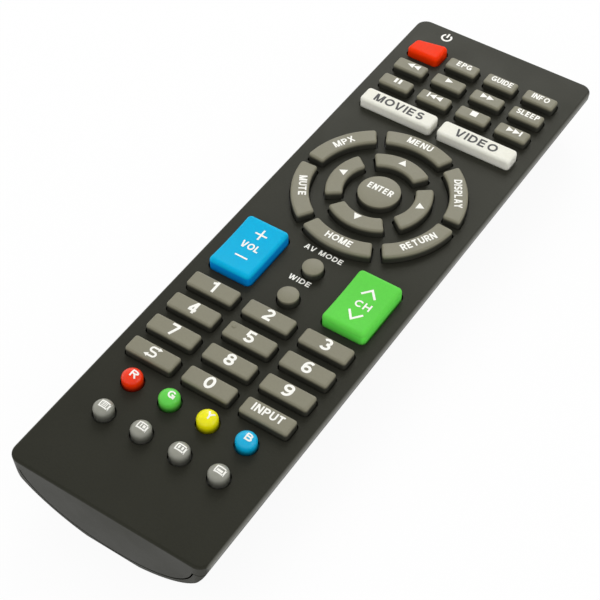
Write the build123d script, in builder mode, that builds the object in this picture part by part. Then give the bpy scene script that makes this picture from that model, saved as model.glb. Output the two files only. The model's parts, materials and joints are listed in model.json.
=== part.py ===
from build123d import *
import os
from math import cos, pi, radians, sin

os.makedirs("parts", exist_ok=True)

# Millimetres. X runs across the keys, Y towards the far end, Z out of the key face.

# Overall form
WIDTH = 51.0
LENGTH = 170.0
THICK = 16.6            # flat back to key face
CORNER = 3.0            # plan corners
EDGE = 0.6              # rounding round the key face
DRAFT = 4.0             # degrees the two ends lean in towards the back
STRIP = 7.0             # half width of the flat that the body lies on
BELLY = 1.82            # roundness of the back, where 2 is an ellipse
BELLY_STEPS = 8

# Walls
WALL = 1.5              # sides, ends and back
TOP_WALL = 1.2
TOP_INNER = THICK - TOP_WALL

# Parting between cover and shell, a stepped joint
PART_DROP = 3.4         # below the key face
PART_Z = THICK - PART_DROP
SEAM = 0.2
TONGUE = 0.75           # the shell's tongue is the inner half of the wall
TONGUE_RISE = 1.0
FIT = 0.15              # between the tongue and the cover's lip
TONGUE_TOP = PART_Z + TONGUE_RISE

# End flap: the cover's crescent, let into the shell at the near end
FLAP = 1.5
FLAP_WIDTH = 45.2
FLAP_FOOT = 0.9         # above the back
FLAP_BELLY = 2.1
GROOVE = 0.35
END_BACK = FLAP + FIT
END_INNER = END_BACK + WALL

# Stack between the back and the key face
BAY_CEILING = 12.0
BAY_ROOF = 0.7
BOARD_GAP = 0.1
BOARD_Z = BAY_CEILING + BAY_ROOF + BOARD_GAP
BOARD = 1.0
MAT_Z = BOARD_Z + BOARD + 0.1
MAT = 1.3

# Board and mat outlines
BOARD_HALF = 22.4
BOARD_NEAR = -71.0
BOARD_FAR = 76.6
MAT_INSET = 0.4

# Keys: skirts under the cover hold them in, pads under them meet the board
OPENING = 0.35          # cover opening round each cap
SKIRT = 0.6
SKIRT_Z = MAT_Z + MAT - 0.4
SKIRT_THICK = 0.4
PAD = 0.15
PAD_RADIUS = 1.3
MAT_FIT = 0.2
CAP_EDGE = 0.55
ROCKER_OPENING = 0.4
ROCKER_DIP = 0.4        # the middle of a rocker, below its two ends
ROCKER_EAR = 5.0
ROCKER_DROP = 0.25
ROCKER_RIB = 0.7        # radius of the rib under a rocker, on which it rocks

# Battery bay, door and cells
CELL_RADIUS = 5.15
CELL_LENGTH = 44.5
CELL_X = 5.5
CELL_Z = 6.65
NIPPLE = 1.9
NIPPLE_RISE = 1.0
BAY_HALF = 11.1
BAY_SIDE = 1.7
BAY_END = 1.0
BAY_NEAR = -75.5
BAY_FAR = -25.6
DOOR_HALF = 11.65
DOOR_NEAR = -77.9
DOOR_FAR = -23.5
DOOR_THICK = 1.2
DOOR_SIDE_FIT = 0.25
DOOR_NEAR_FIT = 0.6     # room for the near edge to turn
DOOR_FAR_FIT = 0.3
BEAD = 0.6              # radius of the near edge, on which the door turns
BEAD_Z = 0.7
BEAD_HALF = 7.0
TAB_X = 4.5
TAB_WIDTH = 4.0
TAB_LENGTH = 2.1
TAB_Z = 1.8
TAB = 0.8
TAB_SIDE_FIT = 0.3
TAB_SWING = 3.9         # top of the notches that the tabs swing through
GRIPS = 6

# Contacts
LEAF = 0.4
LEAF_FIT = 0.1
LEAF_FOOT = 2.6
LEAF_TOP = 11.4
DIMPLE = 2.4
DIMPLE_RISE = 1.0
SPRING_TURNS = 3
SPRING_LENGTH = 3.2
SPRING_RADIUS = 3.2
WIRE = 0.5
SOLDER_TAB = 2.4

# Infrared lamp
LAMP_RADIUS = 2.5
LAMP_RIM = 2.9
LAMP_Z = 9.9
LAMP_BACK = 77.4
LAMP_TIP = 84.2
LEAD = 0.5
LEAD_X = 1.27
LEAD_Y = 74.9

# Screws
SCREW_X = 16.0
SCREW_NEAR = -79.2
SCREW_FAR = 80.0
SEAT_Z = 7.2
POST_TOP = 9.0
POST_RADIUS = 2.9
BOSS_RADIUS = 2.4
SHANK = 1.0
HEAD = 1.8
HEAD_THICK = 1.4
SCREW_TIP = 13.6

# Controller chip
CHIP_Y = 8.0
CHIP_LENGTH = 12.8
CHIP_WIDTH = 7.5
CHIP_THICK = 1.9
LEG_PITCH = 1.27
LEGS = 10


def belly(half_width, depth, power, strip):
    """Points down one side of a rounded back, from the face's edge to the flat strip."""
    span = depth / (1 - (strip / half_width) ** power) ** (1 / power)
    points = []
    for step in range(BELLY_STEPS + 1):
        out = half_width - (half_width - strip) * (1 - cos(pi / 2 * step / BELLY_STEPS))
        drop = span * (1 - (out / half_width) ** power) ** (1 / power)
        points.append((out, drop))
    return points


def slab(bottom, top):
    """Everything between two heights."""
    with BuildPart() as layer:
        with BuildSketch(Plane.XY.offset(bottom)):
            Rectangle(2 * WIDTH, 2 * LENGTH)
        extrude(amount=top - bottom)
    return layer.part


def form(inset=0.0, near=None, top=None, edge=0.0):
    """The case's form, moved in by inset (by near at the near end), cut flat at height top."""
    near = inset if near is None else near
    lid = THICK + 2
    curve = [(x, THICK - drop) for x, drop in belly(WIDTH / 2 - inset, THICK - inset, BELLY, STRIP)]
    with BuildPart() as block:
        with BuildSketch(Plane.XY.offset(THICK)):
            with Locations((0, (near - inset) / 2)):
                RectangleRounded(WIDTH - 2 * inset, LENGTH - inset - near, CORNER - inset / 2)
        extrude(amount=-THICK, taper=DRAFT)
        if edge:
            fillet(block.faces().sort_by(Axis.Z)[-1].edges(), edge)
        with BuildSketch(Plane.XZ):
            with BuildLine():
                right = Spline(*curve)
                left = Spline(*[(-x, z) for x, z in curve])
                Line(right @ 1, left @ 1)
                Polyline(right @ 0, (curve[0][0], lid), (-curve[0][0], lid), left @ 0)
            make_face()
        extrude(amount=LENGTH, both=True, mode=Mode.INTERSECT)
        if top:
            add(slab(top, lid), mode=Mode.SUBTRACT)
    return block.part


def flap_prism(grow):
    """The crescent's outline at the near end, run through the end wall."""
    half = FLAP_WIDTH / 2 + grow
    curve = [(x, THICK - drop) for x, drop in belly(half, THICK - FLAP_FOOT + grow, FLAP_BELLY, 1.0)]
    with BuildPart() as prism:
        with BuildSketch(Plane.XZ.offset(LENGTH / 2 + 1)):
            with BuildLine():
                right = Spline(*curve)
                left = Spline(*[(-x, z) for x, z in curve])
                Line(right @ 1, left @ 1)
                Polyline(right @ 0, (half, THICK + 2), (-half, THICK + 2), left @ 0)
            make_face()
        extrude(amount=-8)
    return prism.part


# Key layout
GRID_X = 11.17
GRID_Y = 7.24
GRID_TOP = 71.5
RING_Y = 21.5
COLOUR_X = 9.98

KEYS = []


def block_key(name, x, y, width, depth, rise, corner=0.7, edge=CAP_EDGE, skirt="all"):
    """A rectangular key."""
    KEYS.append({"name": name, "form": "block", "at": (x, y), "width": width, "depth": depth,
                 "corner": corner, "rise": rise, "edge": edge, "skirt": skirt})


def slanted_key(name, x, y, width, depth, lean, slope, rise, corner, edge):
    """A key whose left side leans in and whose far side runs out towards the right."""
    outline = [(-width / 2, -depth / 2), (width / 2, -depth / 2), (width / 2, depth / 2 + slope),
               (-width / 2 + lean, depth / 2)]
    KEYS.append({"name": name, "form": "slanted", "at": (x, y), "outline": outline,
                 "corner": corner, "rise": rise, "edge": edge, "skirt": "all"})


def round_key(name, x, y, radius, rise, crown):
    """A round key with a crowned top."""
    KEYS.append({"name": name, "form": "round", "at": (x, y), "radius": radius,
                 "rise": rise, "crown": crown, "skirt": "all"})


def sector_key(name, inner, outer, angle, half_angle, rise):
    """A key that is part of a ring; the angle runs clockwise from the far end."""
    KEYS.append({"name": name, "form": "sector", "at": (0, RING_Y), "inner": inner, "outer": outer,
                 "angle": angle, "half_angle": half_angle, "rise": rise, "edge": CAP_EDGE, "skirt": "all"})


slanted_key("power_key", -16.9, 72.1, 9.3, 4.9, 0.6, 1.7, 2.3, corner=1.3, edge=1.0)
grid_names = [["epg_key", "guide_key", "info_key"],
              ["rewind_key", "play_key", "forward_key", "sleep_key"],
              ["pause_key", "previous_key", "stop_key", "next_key"]]
for row, names in enumerate(grid_names):
    for column, name in enumerate(names, start=4 - len(names)):
        block_key(name, (column - 1.5) * GRID_X, GRID_TOP - row * GRID_Y, 8.6, 3.9, 2.1)

block_key("app_key_left", -11.15, 49.0, 20.4, 5.0, 2.5, corner=1.0, edge=0.7, skirt="long sides")
block_key("app_key_right", 11.15, 49.0, 20.4, 5.0, 2.5, corner=1.0, edge=0.7, skirt="long sides")

ring_names = ["mpx_key", "menu_key", "display_key", "return_key", "home_key", "mute_key"]
for index, name in enumerate(ring_names):
    sector_key(name, 16.8, 21.2, 60 * (index - 1), 26.4, 2.1)
for index, name in enumerate(["up_key", "right_key", "down_key", "left_key"]):
    sector_key(name, 8.75, 13.0, 90 * index, 36.4, 2.1)
round_key("enter_key", 0, RING_Y, 5.2, 2.2, 0.45)

block_key("volume_rocker", -15.4, -10.6, 11.4, 17.0, 2.9, corner=1.15, edge=1.0, skirt="ears")
block_key("channel_rocker", 15.4, -10.6, 11.4, 17.0, 2.9, corner=1.15, edge=1.0, skirt="ears")
round_key("av_mode_key", 0, -7.3, 2.5, 2.2, 0.4)
round_key("wide_key", 0, -17.4, 2.5, 2.2, 0.4)

number_names = [["key_1", "key_2", "key_3"], ["key_4", "key_5", "key_6"],
                ["key_7", "key_8", "key_9"], ["swap_key", "key_0", "input_key"]]
for row, names in enumerate(number_names):
    for column, name in enumerate(names):
        block_key(name, (column - 1) * 15.14, -25.05 - row * 7.53, 12.4, 4.5, 2.1)

for column, name in enumerate(["red_key", "green_key", "yellow_key", "blue_key"]):
    round_key(name, (column - 1.5) * COLOUR_X, -55.3, 2.42, 3.3, 1.8)
for column, name in enumerate(["text_key", "size_key", "hold_key", "caption_key"]):
    round_key(name, (column - 1.5) * COLOUR_X, -65.2, 2.35, 3.2, 1.6)


def plan(key, height, grow=0.0):
    """A key's outline at a height, grown all round."""
    with BuildSketch(Plane.XY.offset(height)) as outline:
        with Locations(key["at"]):
            if key["form"] == "block":
                RectangleRounded(key["width"] + 2 * grow, key["depth"] + 2 * grow, key["corner"] + grow)
            elif key["form"] == "round":
                Circle(key["radius"] + grow)
            elif key["form"] == "slanted":
                Polygon(*key["outline"], align=None)
            else:
                Circle(key["outer"])
                Circle(key["inner"], mode=Mode.SUBTRACT)
                reach = 2 * key["outer"]
                rays = [radians(key["angle"] + side * key["half_angle"]) for side in (-1, 0, 1)]
                Polygon((0, 0), *[(reach * sin(ray), reach * cos(ray)) for ray in rays],
                        align=None, mode=Mode.INTERSECT)
        if key["form"] == "slanted":
            fillet(outline.vertices(), key["corner"])
            if grow:
                offset(amount=grow)
        if key["form"] == "sector":
            if grow:
                offset(amount=grow, kind=Kind.INTERSECTION)
            fillet(outline.vertices(), 0.7)
    return outline.sketch


def skirt_plan(key, height, grow=0.0):
    """The outline of a key's skirt, under the cover."""
    if key["skirt"] == "all":
        return plan(key, height, SKIRT + grow)
    with BuildSketch(Plane.XY.offset(height)) as outline:
        with Locations(key["at"]):
            Rectangle(key["width"] + 2 * grow, key["depth"] + 2 * grow)
            if key["skirt"] == "long sides":
                Rectangle(key["width"] + 2 * grow, key["depth"] + 2 * SKIRT + 2 * grow)
            else:
                Rectangle(key["width"] + 2 * SKIRT + 2 * grow, ROCKER_EAR + 2 * grow)
    return outline.sketch


# Front cover
with BuildPart() as below_parting:
    add(slab(-1, PART_Z + SEAM / 2))
    add(flap_prism(0), mode=Mode.SUBTRACT)

with BuildPart() as front_cover:
    add(form(edge=EDGE))
    add(below_parting.part, mode=Mode.SUBTRACT)
    add(form(TONGUE - FIT, near=FLAP, top=TONGUE_TOP + FIT), mode=Mode.SUBTRACT)
    add(form(WALL, near=END_INNER, top=TOP_INNER), mode=Mode.SUBTRACT)
    for key in KEYS:
        around = ROCKER_OPENING if key["skirt"] == "ears" else OPENING
        extrude(plan(key, TOP_INNER - 1, around), amount=TOP_WALL + 2, mode=Mode.SUBTRACT)
    with BuildSketch(Plane.XY.offset(POST_TOP + FIT)):
        with Locations(*[(side * SCREW_X, y) for side in (-1, 1) for y in (SCREW_NEAR, SCREW_FAR)]):
            Circle(BOSS_RADIUS)
            Circle(SHANK + 0.05, mode=Mode.SUBTRACT)
    extrude(amount=TOP_INNER - POST_TOP - FIT + 0.2)
front_cover.part.label = "front_cover"
export_step(front_cover.part, "parts/front_cover.step")

# Back shell
with BuildPart() as bay:
    with BuildSketch(Plane.XY.offset(0.5)):
        with Locations((0, (BAY_NEAR + BAY_FAR) / 2)):
            Rectangle(2 * (BAY_HALF + BAY_SIDE), BAY_FAR - BAY_NEAR + 2 * BAY_END)
    extrude(amount=BAY_CEILING + BAY_ROOF - 0.5)
    with BuildSketch(Plane.XY):
        with Locations((0, (BAY_NEAR + BAY_FAR) / 2)):
            Rectangle(2 * BAY_HALF, BAY_FAR - BAY_NEAR)
    extrude(amount=BAY_CEILING, mode=Mode.SUBTRACT)
    with BuildSketch(Plane.XY.offset(BAY_CEILING - 1)):
        with Locations(*[(side * CELL_X, BAY_FAR - LEAF_FIT - LEAF / 2) for side in (-1, 1)]):
            Rectangle(SOLDER_TAB + 0.6, LEAF + 0.2)
    extrude(amount=BAY_ROOF + 2, mode=Mode.SUBTRACT)
    with BuildSketch(Plane.XY):
        with Locations(*[(side * TAB_X, BAY_NEAR - BAY_END / 2) for side in (-1, 1)]):
            Rectangle(TAB_WIDTH + 2 * TAB_SIDE_FIT, BAY_END + 0.2)
    extrude(amount=TAB_SWING, mode=Mode.SUBTRACT)

with BuildPart() as supports:
    add(bay.part)
    with BuildSketch(Plane.XY.offset(0.5)):
        with Locations(*[(side * SCREW_X, y) for side in (-1, 1) for y in (SCREW_NEAR, SCREW_FAR)]):
            Circle(POST_RADIUS)
    extrude(amount=POST_TOP - 0.5)
    with BuildSketch(Plane.XY.offset(0.5)):
        with Locations(*[(side * 17.5, 27) for side in (-1, 1)]):
            Rectangle(1.2, 92)
        with Locations((0, 30), (0, 68)):
            Rectangle(35, 1.2)
    extrude(amount=BAY_CEILING + BAY_ROOF - 0.5)
    add(form(WALL / 2, near=END_BACK + WALL / 2), mode=Mode.INTERSECT)

with BuildPart() as door_hole:
    with BuildSketch(Plane.XY.offset(-1)):
        with Locations((0, (DOOR_NEAR - DOOR_NEAR_FIT + DOOR_FAR + DOOR_FAR_FIT) / 2)):
            Rectangle(2 * (DOOR_HALF + DOOR_SIDE_FIT), DOOR_FAR + DOOR_FAR_FIT - DOOR_NEAR + DOOR_NEAR_FIT)
    extrude(amount=8)
    add(form(WALL), mode=Mode.SUBTRACT)

with BuildPart() as flap_pocket:
    add(flap_prism(GROOVE))
    add(form(-2, near=END_BACK), mode=Mode.SUBTRACT)

with BuildPart() as lip_room:
    add(slab(PART_Z - SEAM / 2, THICK + 3))
    add(form(TONGUE, near=END_BACK, top=TONGUE_TOP), mode=Mode.SUBTRACT)

with BuildPart() as back_shell:
    add(form())
    add(lip_room.part, mode=Mode.SUBTRACT)
    add(form(WALL, near=END_INNER), mode=Mode.SUBTRACT)
    add(supports.part)
    add(flap_pocket.part, mode=Mode.SUBTRACT)
    add(door_hole.part, mode=Mode.SUBTRACT)
    with BuildSketch(Plane.XY.offset(-1)):
        with Locations(*[(side * SCREW_X, y) for side in (-1, 1) for y in (SCREW_NEAR, SCREW_FAR)]):
            Circle(HEAD + 0.3)
    extrude(amount=SEAT_Z + 1, mode=Mode.SUBTRACT)
    with BuildSketch(Plane.XY.offset(SEAT_Z - 1)):
        with Locations(*[(side * SCREW_X, y) for side in (-1, 1) for y in (SCREW_NEAR, SCREW_FAR)]):
            Circle(SHANK + 0.2)
    extrude(amount=POST_TOP, mode=Mode.SUBTRACT)
    with BuildSketch(Plane.XZ.offset(-LENGTH / 2 - 1)):
        with Locations((0, LAMP_Z)):
            Circle(LAMP_RADIUS + 0.2)
    extrude(amount=4, mode=Mode.SUBTRACT)
back_shell.part.label = "back_shell"
export_step(back_shell.part, "parts/back_shell.step")

# Battery door, a piece of the rounded back with a round near edge, two tabs there and grip lines at the far one
with BuildPart() as battery_door:
    with BuildSketch(Plane.XY):
        with Locations((0, (DOOR_NEAR + DOOR_FAR) / 2)):
            Rectangle(2 * DOOR_HALF, DOOR_FAR - DOOR_NEAR)
    extrude(amount=8)
    add(form(), mode=Mode.INTERSECT)
    add(form(DOOR_THICK), mode=Mode.SUBTRACT)
    with BuildSketch(Plane.XY.offset(-0.1)):
        with GridLocations(0, 1.6, 1, GRIPS):
            with Locations((0, DOOR_FAR - 8)):
                SlotOverall(10, 0.6)
    extrude(amount=0.4, mode=Mode.SUBTRACT)
    with BuildSketch(Plane.XY.offset(-1)):
        with Locations((0, DOOR_NEAR + BEAD / 2)):
            Rectangle(2 * BEAD_HALF, BEAD)
    extrude(amount=DOOR_THICK + 1, mode=Mode.SUBTRACT)
    with BuildSketch(Plane.YZ.offset(-BEAD_HALF)):
        with Locations((DOOR_NEAR + BEAD, BEAD_Z)):
            Circle(BEAD)
    extrude(amount=2 * BEAD_HALF)
    with BuildSketch(Plane.XY.offset(BEAD_Z)):
        with Locations(*[(side * TAB_X, DOOR_NEAR + BEAD) for side in (-1, 1)]):
            Rectangle(TAB_WIDTH, 2 * BEAD)
    extrude(amount=TAB_Z + TAB - BEAD_Z)
    with BuildSketch(Plane.XY.offset(TAB_Z)):
        with Locations(*[(side * TAB_X, DOOR_NEAR + BEAD - TAB_LENGTH / 2) for side in (-1, 1)]):
            Rectangle(TAB_WIDTH, TAB_LENGTH)
    extrude(amount=TAB)
battery_door.part.label = "battery_door"
export_step(battery_door.part, "parts/battery_door.step")

# Battery cells, one facing each way
with BuildPart() as battery_cells:
    for side in (-1, 1):
        minus_y = BAY_NEAR + LEAF_FIT + LEAF + SPRING_LENGTH + 0.1
        if side > 0:
            minus_y = BAY_FAR - LEAF_FIT - LEAF - SPRING_LENGTH - 0.1
        body = CELL_LENGTH - NIPPLE_RISE
        with BuildSketch(Plane.XZ.offset(-minus_y)):
            with Locations((side * CELL_X, CELL_Z)):
                Circle(CELL_RADIUS)
        extrude(amount=side * body)
        with BuildSketch(Plane.XZ.offset(-minus_y + side * body)):
            with Locations((side * CELL_X, CELL_Z)):
                Circle(NIPPLE)
        extrude(amount=side * NIPPLE_RISE)
battery_cells.part.label = "battery_cells"
export_step(battery_cells.part, "parts/battery_cells.step")


def spring_coil(x, y, direction):
    """A conical coil standing out from a contact leaf."""
    with BuildPart() as coil:
        with BuildLine() as wire:
            Helix((SPRING_LENGTH - WIRE) / SPRING_TURNS, SPRING_LENGTH - WIRE, SPRING_RADIUS,
                  center=(x, y, CELL_Z), direction=(0, direction, 0), cone_angle=-15)
        path = wire.wires()[0]
        with BuildSketch(Plane(path @ 0, z_dir=path % 0)):
            RegularPolygon(WIRE / 2, 6)
        sweep(path=path, is_frenet=True)
    return coil.part


# Near contact, one leaf that joins both cells
with BuildPart() as battery_bridge:
    leaf_y = BAY_NEAR + LEAF_FIT
    with BuildSketch(Plane.XZ.offset(-leaf_y)):
        with Locations((0, (LEAF_FOOT + LEAF_TOP) / 2)):
            RectangleRounded(2 * BAY_HALF - 1.0, LEAF_TOP - LEAF_FOOT, 1.0)
    extrude(amount=-LEAF)
    with BuildSketch(Plane.XZ.offset(-leaf_y - LEAF)):
        with Locations((CELL_X, CELL_Z)):
            Circle(DIMPLE)
    extrude(amount=-DIMPLE_RISE)
    add(spring_coil(-CELL_X, leaf_y + LEAF + WIRE / 4, 1))
battery_bridge.part.label = "battery_bridge"
export_step(battery_bridge.part, "parts/battery_bridge.step")

# Far contacts, two leaves with tabs up to the board
with BuildPart() as battery_terminals:
    leaf_y = BAY_FAR - LEAF_FIT
    with BuildSketch(Plane.XZ.offset(-leaf_y)):
        with Locations(*[(side * CELL_X, (LEAF_FOOT + LEAF_TOP) / 2) for side in (-1, 1)]):
            RectangleRounded(9.2, LEAF_TOP - LEAF_FOOT, 1.0)
        with Locations(*[(side * CELL_X, (CELL_Z + BOARD_Z + BOARD - 0.2) / 2) for side in (-1, 1)]):
            Rectangle(SOLDER_TAB, BOARD_Z + BOARD - 0.2 - CELL_Z)
    extrude(amount=LEAF)
    with BuildSketch(Plane.XZ.offset(-leaf_y + LEAF)):
        with Locations((-CELL_X, CELL_Z)):
            Circle(DIMPLE)
    extrude(amount=DIMPLE_RISE)
    add(spring_coil(CELL_X, leaf_y - LEAF - WIRE / 4, -1))
battery_terminals.part.label = "battery_terminals"
export_step(battery_terminals.part, "parts/battery_terminals.step")

# Circuit board
with BuildPart() as circuit_board:
    with BuildSketch(Plane.XY.offset(BOARD_Z)):
        with Locations((0, (BOARD_NEAR + BOARD_FAR) / 2)):
            RectangleRounded(2 * BOARD_HALF, BOARD_FAR - BOARD_NEAR, 2.0)
        with Locations(*[(side * LEAD_X, LEAD_Y) for side in (-1, 1)]):
            Circle(LEAD, mode=Mode.SUBTRACT)
        with Locations(*[(side * CELL_X, BAY_FAR - LEAF_FIT - LEAF / 2) for side in (-1, 1)]):
            Rectangle(SOLDER_TAB + 0.4, LEAF + 0.3, mode=Mode.SUBTRACT)
    extrude(amount=BOARD)
circuit_board.part.label = "circuit_board"
export_step(circuit_board.part, "parts/circuit_board.step")

# Rubber mat, with a window round every key's skirt
with BuildPart() as keypad_mat:
    with BuildSketch(Plane.XY.offset(MAT_Z)):
        with Locations((0, (BOARD_NEAR + BOARD_FAR) / 2)):
            RectangleRounded(2 * (BOARD_HALF - MAT_INSET / 2), BOARD_FAR - BOARD_NEAR - 2 * MAT_INSET, 2.0)
    extrude(amount=MAT)
    for key in KEYS:
        extrude(skirt_plan(key, MAT_Z - 1, MAT_FIT), amount=MAT + 2, mode=Mode.SUBTRACT)
keypad_mat.part.label = "keypad_mat"
export_step(keypad_mat.part, "parts/keypad_mat.step")

# Infrared lamp, its dome looking out of the far end
with BuildPart() as ir_lamp:
    with BuildSketch(Plane.XZ.offset(-LAMP_BACK)):
        with Locations((0, LAMP_Z)):
            Circle(LAMP_RIM)
    extrude(amount=-1.0)
    with BuildSketch(Plane.XZ.offset(-LAMP_BACK)):
        with Locations((0, LAMP_Z)):
            Circle(LAMP_RADIUS)
    extrude(amount=-(LAMP_TIP - LAMP_BACK))
    fillet(ir_lamp.faces().sort_by(Axis.Y)[-1].edges(), LAMP_RADIUS - 0.4)
    with BuildSketch(Plane.XY.offset(LAMP_Z - LEAD / 2)):
        with Locations(*[(side * LEAD_X, (LAMP_BACK + LEAD_Y - LEAD / 2) / 2) for side in (-1, 1)]):
            Rectangle(LEAD, LAMP_BACK - LEAD_Y + LEAD / 2)
    extrude(amount=LEAD)
    with BuildSketch(Plane.XY.offset(LAMP_Z - LEAD / 2)):
        with Locations(*[(side * LEAD_X, LEAD_Y) for side in (-1, 1)]):
            Rectangle(LEAD, LEAD)
    extrude(amount=BOARD_Z + BOARD - 0.2 - LAMP_Z + LEAD / 2)
ir_lamp.part.label = "ir_lamp"
export_step(ir_lamp.part, "parts/ir_lamp.step")

# Controller chip under the board
with BuildPart() as controller_chip:
    chip_z = BOARD_Z - 0.2 - CHIP_THICK
    with BuildSketch(Plane.XY.offset(chip_z)):
        with Locations((0, CHIP_Y)):
            Rectangle(CHIP_WIDTH, CHIP_LENGTH)
    extrude(amount=CHIP_THICK)
    with BuildSketch(Plane.XY.offset(chip_z + CHIP_THICK / 2)):
        with Locations((0, CHIP_Y)):
            with GridLocations(0, LEG_PITCH, 1, LEGS):
                Rectangle(CHIP_WIDTH + 1.6, 0.4)
    extrude(amount=0.25)
    with BuildSketch(Plane.XY.offset(chip_z + CHIP_THICK / 2)):
        with Locations((0, CHIP_Y)):
            with GridLocations(CHIP_WIDTH + 1.35, LEG_PITCH, 2, LEGS):
                Rectangle(0.25, 0.4)
    extrude(amount=CHIP_THICK / 2 + 0.15)
controller_chip.part.label = "controller_chip"
export_step(controller_chip.part, "parts/controller_chip.step")

# Case screws, four alike
with BuildPart() as case_screws:
    spots = [(side * SCREW_X, y) for side in (-1, 1) for y in (SCREW_NEAR, SCREW_FAR)]
    with BuildSketch(Plane.XY.offset(SEAT_Z - 0.05 - HEAD_THICK)):
        with Locations(*spots):
            Circle(HEAD)
    extrude(amount=HEAD_THICK)
    with BuildSketch(Plane.XY.offset(SEAT_Z - 0.05)):
        with Locations(*spots):
            Circle(SHANK)
    extrude(amount=SCREW_TIP - SEAT_Z)
    with BuildSketch(Plane.XY.offset(SEAT_Z - 0.05 - HEAD_THICK)):
        with Locations(*spots):
            Rectangle(2.2, 0.5)
            Rectangle(0.5, 2.2)
    extrude(amount=0.8, mode=Mode.SUBTRACT)
case_screws.part.label = "case_screws"
export_step(case_screws.part, "parts/case_screws.step")

# Keys
for key in KEYS:
    top = THICK + key["rise"]
    x, y = key["at"]
    with BuildPart() as cap:
        if key["form"] == "round":
            shoulder = top - key["crown"]
            extrude(plan(key, SKIRT_Z), amount=shoulder - SKIRT_Z)
            with BuildSketch(Plane((x, y, shoulder), x_dir=(1, 0, 0), z_dir=(0, -1, 0))):
                with BuildLine():
                    Line((0, 0), (key["radius"], 0))
                    EllipticalCenterArc((0, 0), key["radius"], key["crown"], start_angle=0, arc_size=90)
                    Line((0, key["crown"]), (0, 0))
                make_face()
            revolve(axis=Axis((x, y, 0), (0, 0, 1)))
        else:
            extrude(plan(key, SKIRT_Z), amount=top - SKIRT_Z)
            if key["skirt"] == "ears":
                hollow = ((key["depth"] / 2) ** 2 + ROCKER_DIP ** 2) / (2 * ROCKER_DIP)
                with BuildSketch(Plane.YZ.offset(x - key["width"])):
                    with Locations((y, top - ROCKER_DIP + hollow)):
                        Circle(hollow)
                extrude(amount=2 * key["width"], mode=Mode.SUBTRACT)
            fillet(cap.faces().sort_by(Axis.Z)[-1].edges(), key["edge"])
        drop = ROCKER_DROP if key["skirt"] == "ears" else 0
        extrude(skirt_plan(key, SKIRT_Z - drop), amount=SKIRT_THICK)
        if key["form"] == "sector":
            turn = radians(key["angle"])
            middle = (key["inner"] + key["outer"]) / 2
            pads = [(x + middle * sin(turn), y + middle * cos(turn))]
        elif key["skirt"] == "ears":
            pads = [(x, y - 6), (x, y + 6)]
        else:
            pads = [(x, y)]
        with BuildSketch(Plane.XY.offset(SKIRT_Z - drop - PAD)):
            with Locations(*pads):
                Circle(PAD_RADIUS)
        extrude(amount=PAD)
        if key["skirt"] == "ears":
            with BuildSketch(Plane.YZ.offset(x - key["width"] / 2 + 1)):
                with Locations((y, SKIRT_Z - drop)):
                    Circle(ROCKER_RIB)
            extrude(amount=key["width"] - 2)
    cap.part.label = key["name"]
    export_step(cap.part, f"parts/{key['name']}.step")
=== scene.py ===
"""Finishes, printed legends, light and camera for a television remote control."""

import json
import math

import bmesh
import bpy
from bpy.props import FloatProperty, FloatVectorProperty, PointerProperty
from bpy.types import Operator, Panel, PropertyGroup
from mathutils import Matrix, Vector
from mathutils.bvhtree import BVHTree


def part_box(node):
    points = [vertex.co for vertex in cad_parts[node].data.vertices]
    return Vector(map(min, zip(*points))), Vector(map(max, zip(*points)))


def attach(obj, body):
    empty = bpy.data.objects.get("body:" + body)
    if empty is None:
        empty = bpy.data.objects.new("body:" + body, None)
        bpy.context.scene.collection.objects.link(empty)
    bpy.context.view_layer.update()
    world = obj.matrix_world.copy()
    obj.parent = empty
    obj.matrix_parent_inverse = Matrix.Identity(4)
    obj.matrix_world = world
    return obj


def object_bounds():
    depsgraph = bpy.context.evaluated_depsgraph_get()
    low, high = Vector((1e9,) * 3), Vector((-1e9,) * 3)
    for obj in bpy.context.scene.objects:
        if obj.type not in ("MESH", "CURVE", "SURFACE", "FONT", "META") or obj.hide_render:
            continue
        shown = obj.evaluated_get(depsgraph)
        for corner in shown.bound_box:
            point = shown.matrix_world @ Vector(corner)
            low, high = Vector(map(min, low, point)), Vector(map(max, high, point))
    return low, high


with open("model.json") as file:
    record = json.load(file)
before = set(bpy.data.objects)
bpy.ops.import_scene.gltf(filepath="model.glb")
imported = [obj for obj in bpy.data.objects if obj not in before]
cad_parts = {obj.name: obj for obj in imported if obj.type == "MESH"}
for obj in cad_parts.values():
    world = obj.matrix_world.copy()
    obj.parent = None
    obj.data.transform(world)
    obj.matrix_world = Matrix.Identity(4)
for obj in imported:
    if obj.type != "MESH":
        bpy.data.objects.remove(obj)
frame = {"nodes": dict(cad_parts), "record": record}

bl_info = {
    "name": "Television remote control",
    "version": (1, 0, 0),
    "blender": (4, 5, 0),
    "location": "3D View > Sidebar > Remote",
    "description": "Case, silicone keys, printed legends and the stage of a television remote control",
    "category": "Object",
}

MM = 0.001


def corners():
    """The box round everything shown, as plain lists."""
    low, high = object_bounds()
    return [list(low), list(high)]


CAD_BOX = corners()


def linear(code):
    """An sRGB hex colour as linear red, green and blue."""
    parts = [int(code[i:i + 2], 16) / 255 for i in (1, 3, 5)]
    return tuple(c / 12.92 if c <= 0.04045 else ((c + 0.055) / 1.055) ** 2.4 for c in parts)


def colour_setting(name, description, code):
    """A colour that the user may change."""
    return FloatVectorProperty(name=name, description=description, subtype="COLOR", size=3, min=0, max=1,
                               default=linear(code))


def power_setting(name, description, watts):
    """A lamp's power that the user may change."""
    return FloatProperty(name=name, description=description, unit="POWER", min=0, default=watts)


def length_setting(name, description, millimetres):
    """A length that the user may change."""
    return FloatProperty(name=name, description=description, unit="LENGTH", min=0, precision=5,
                         default=millimetres * MM)


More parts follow.
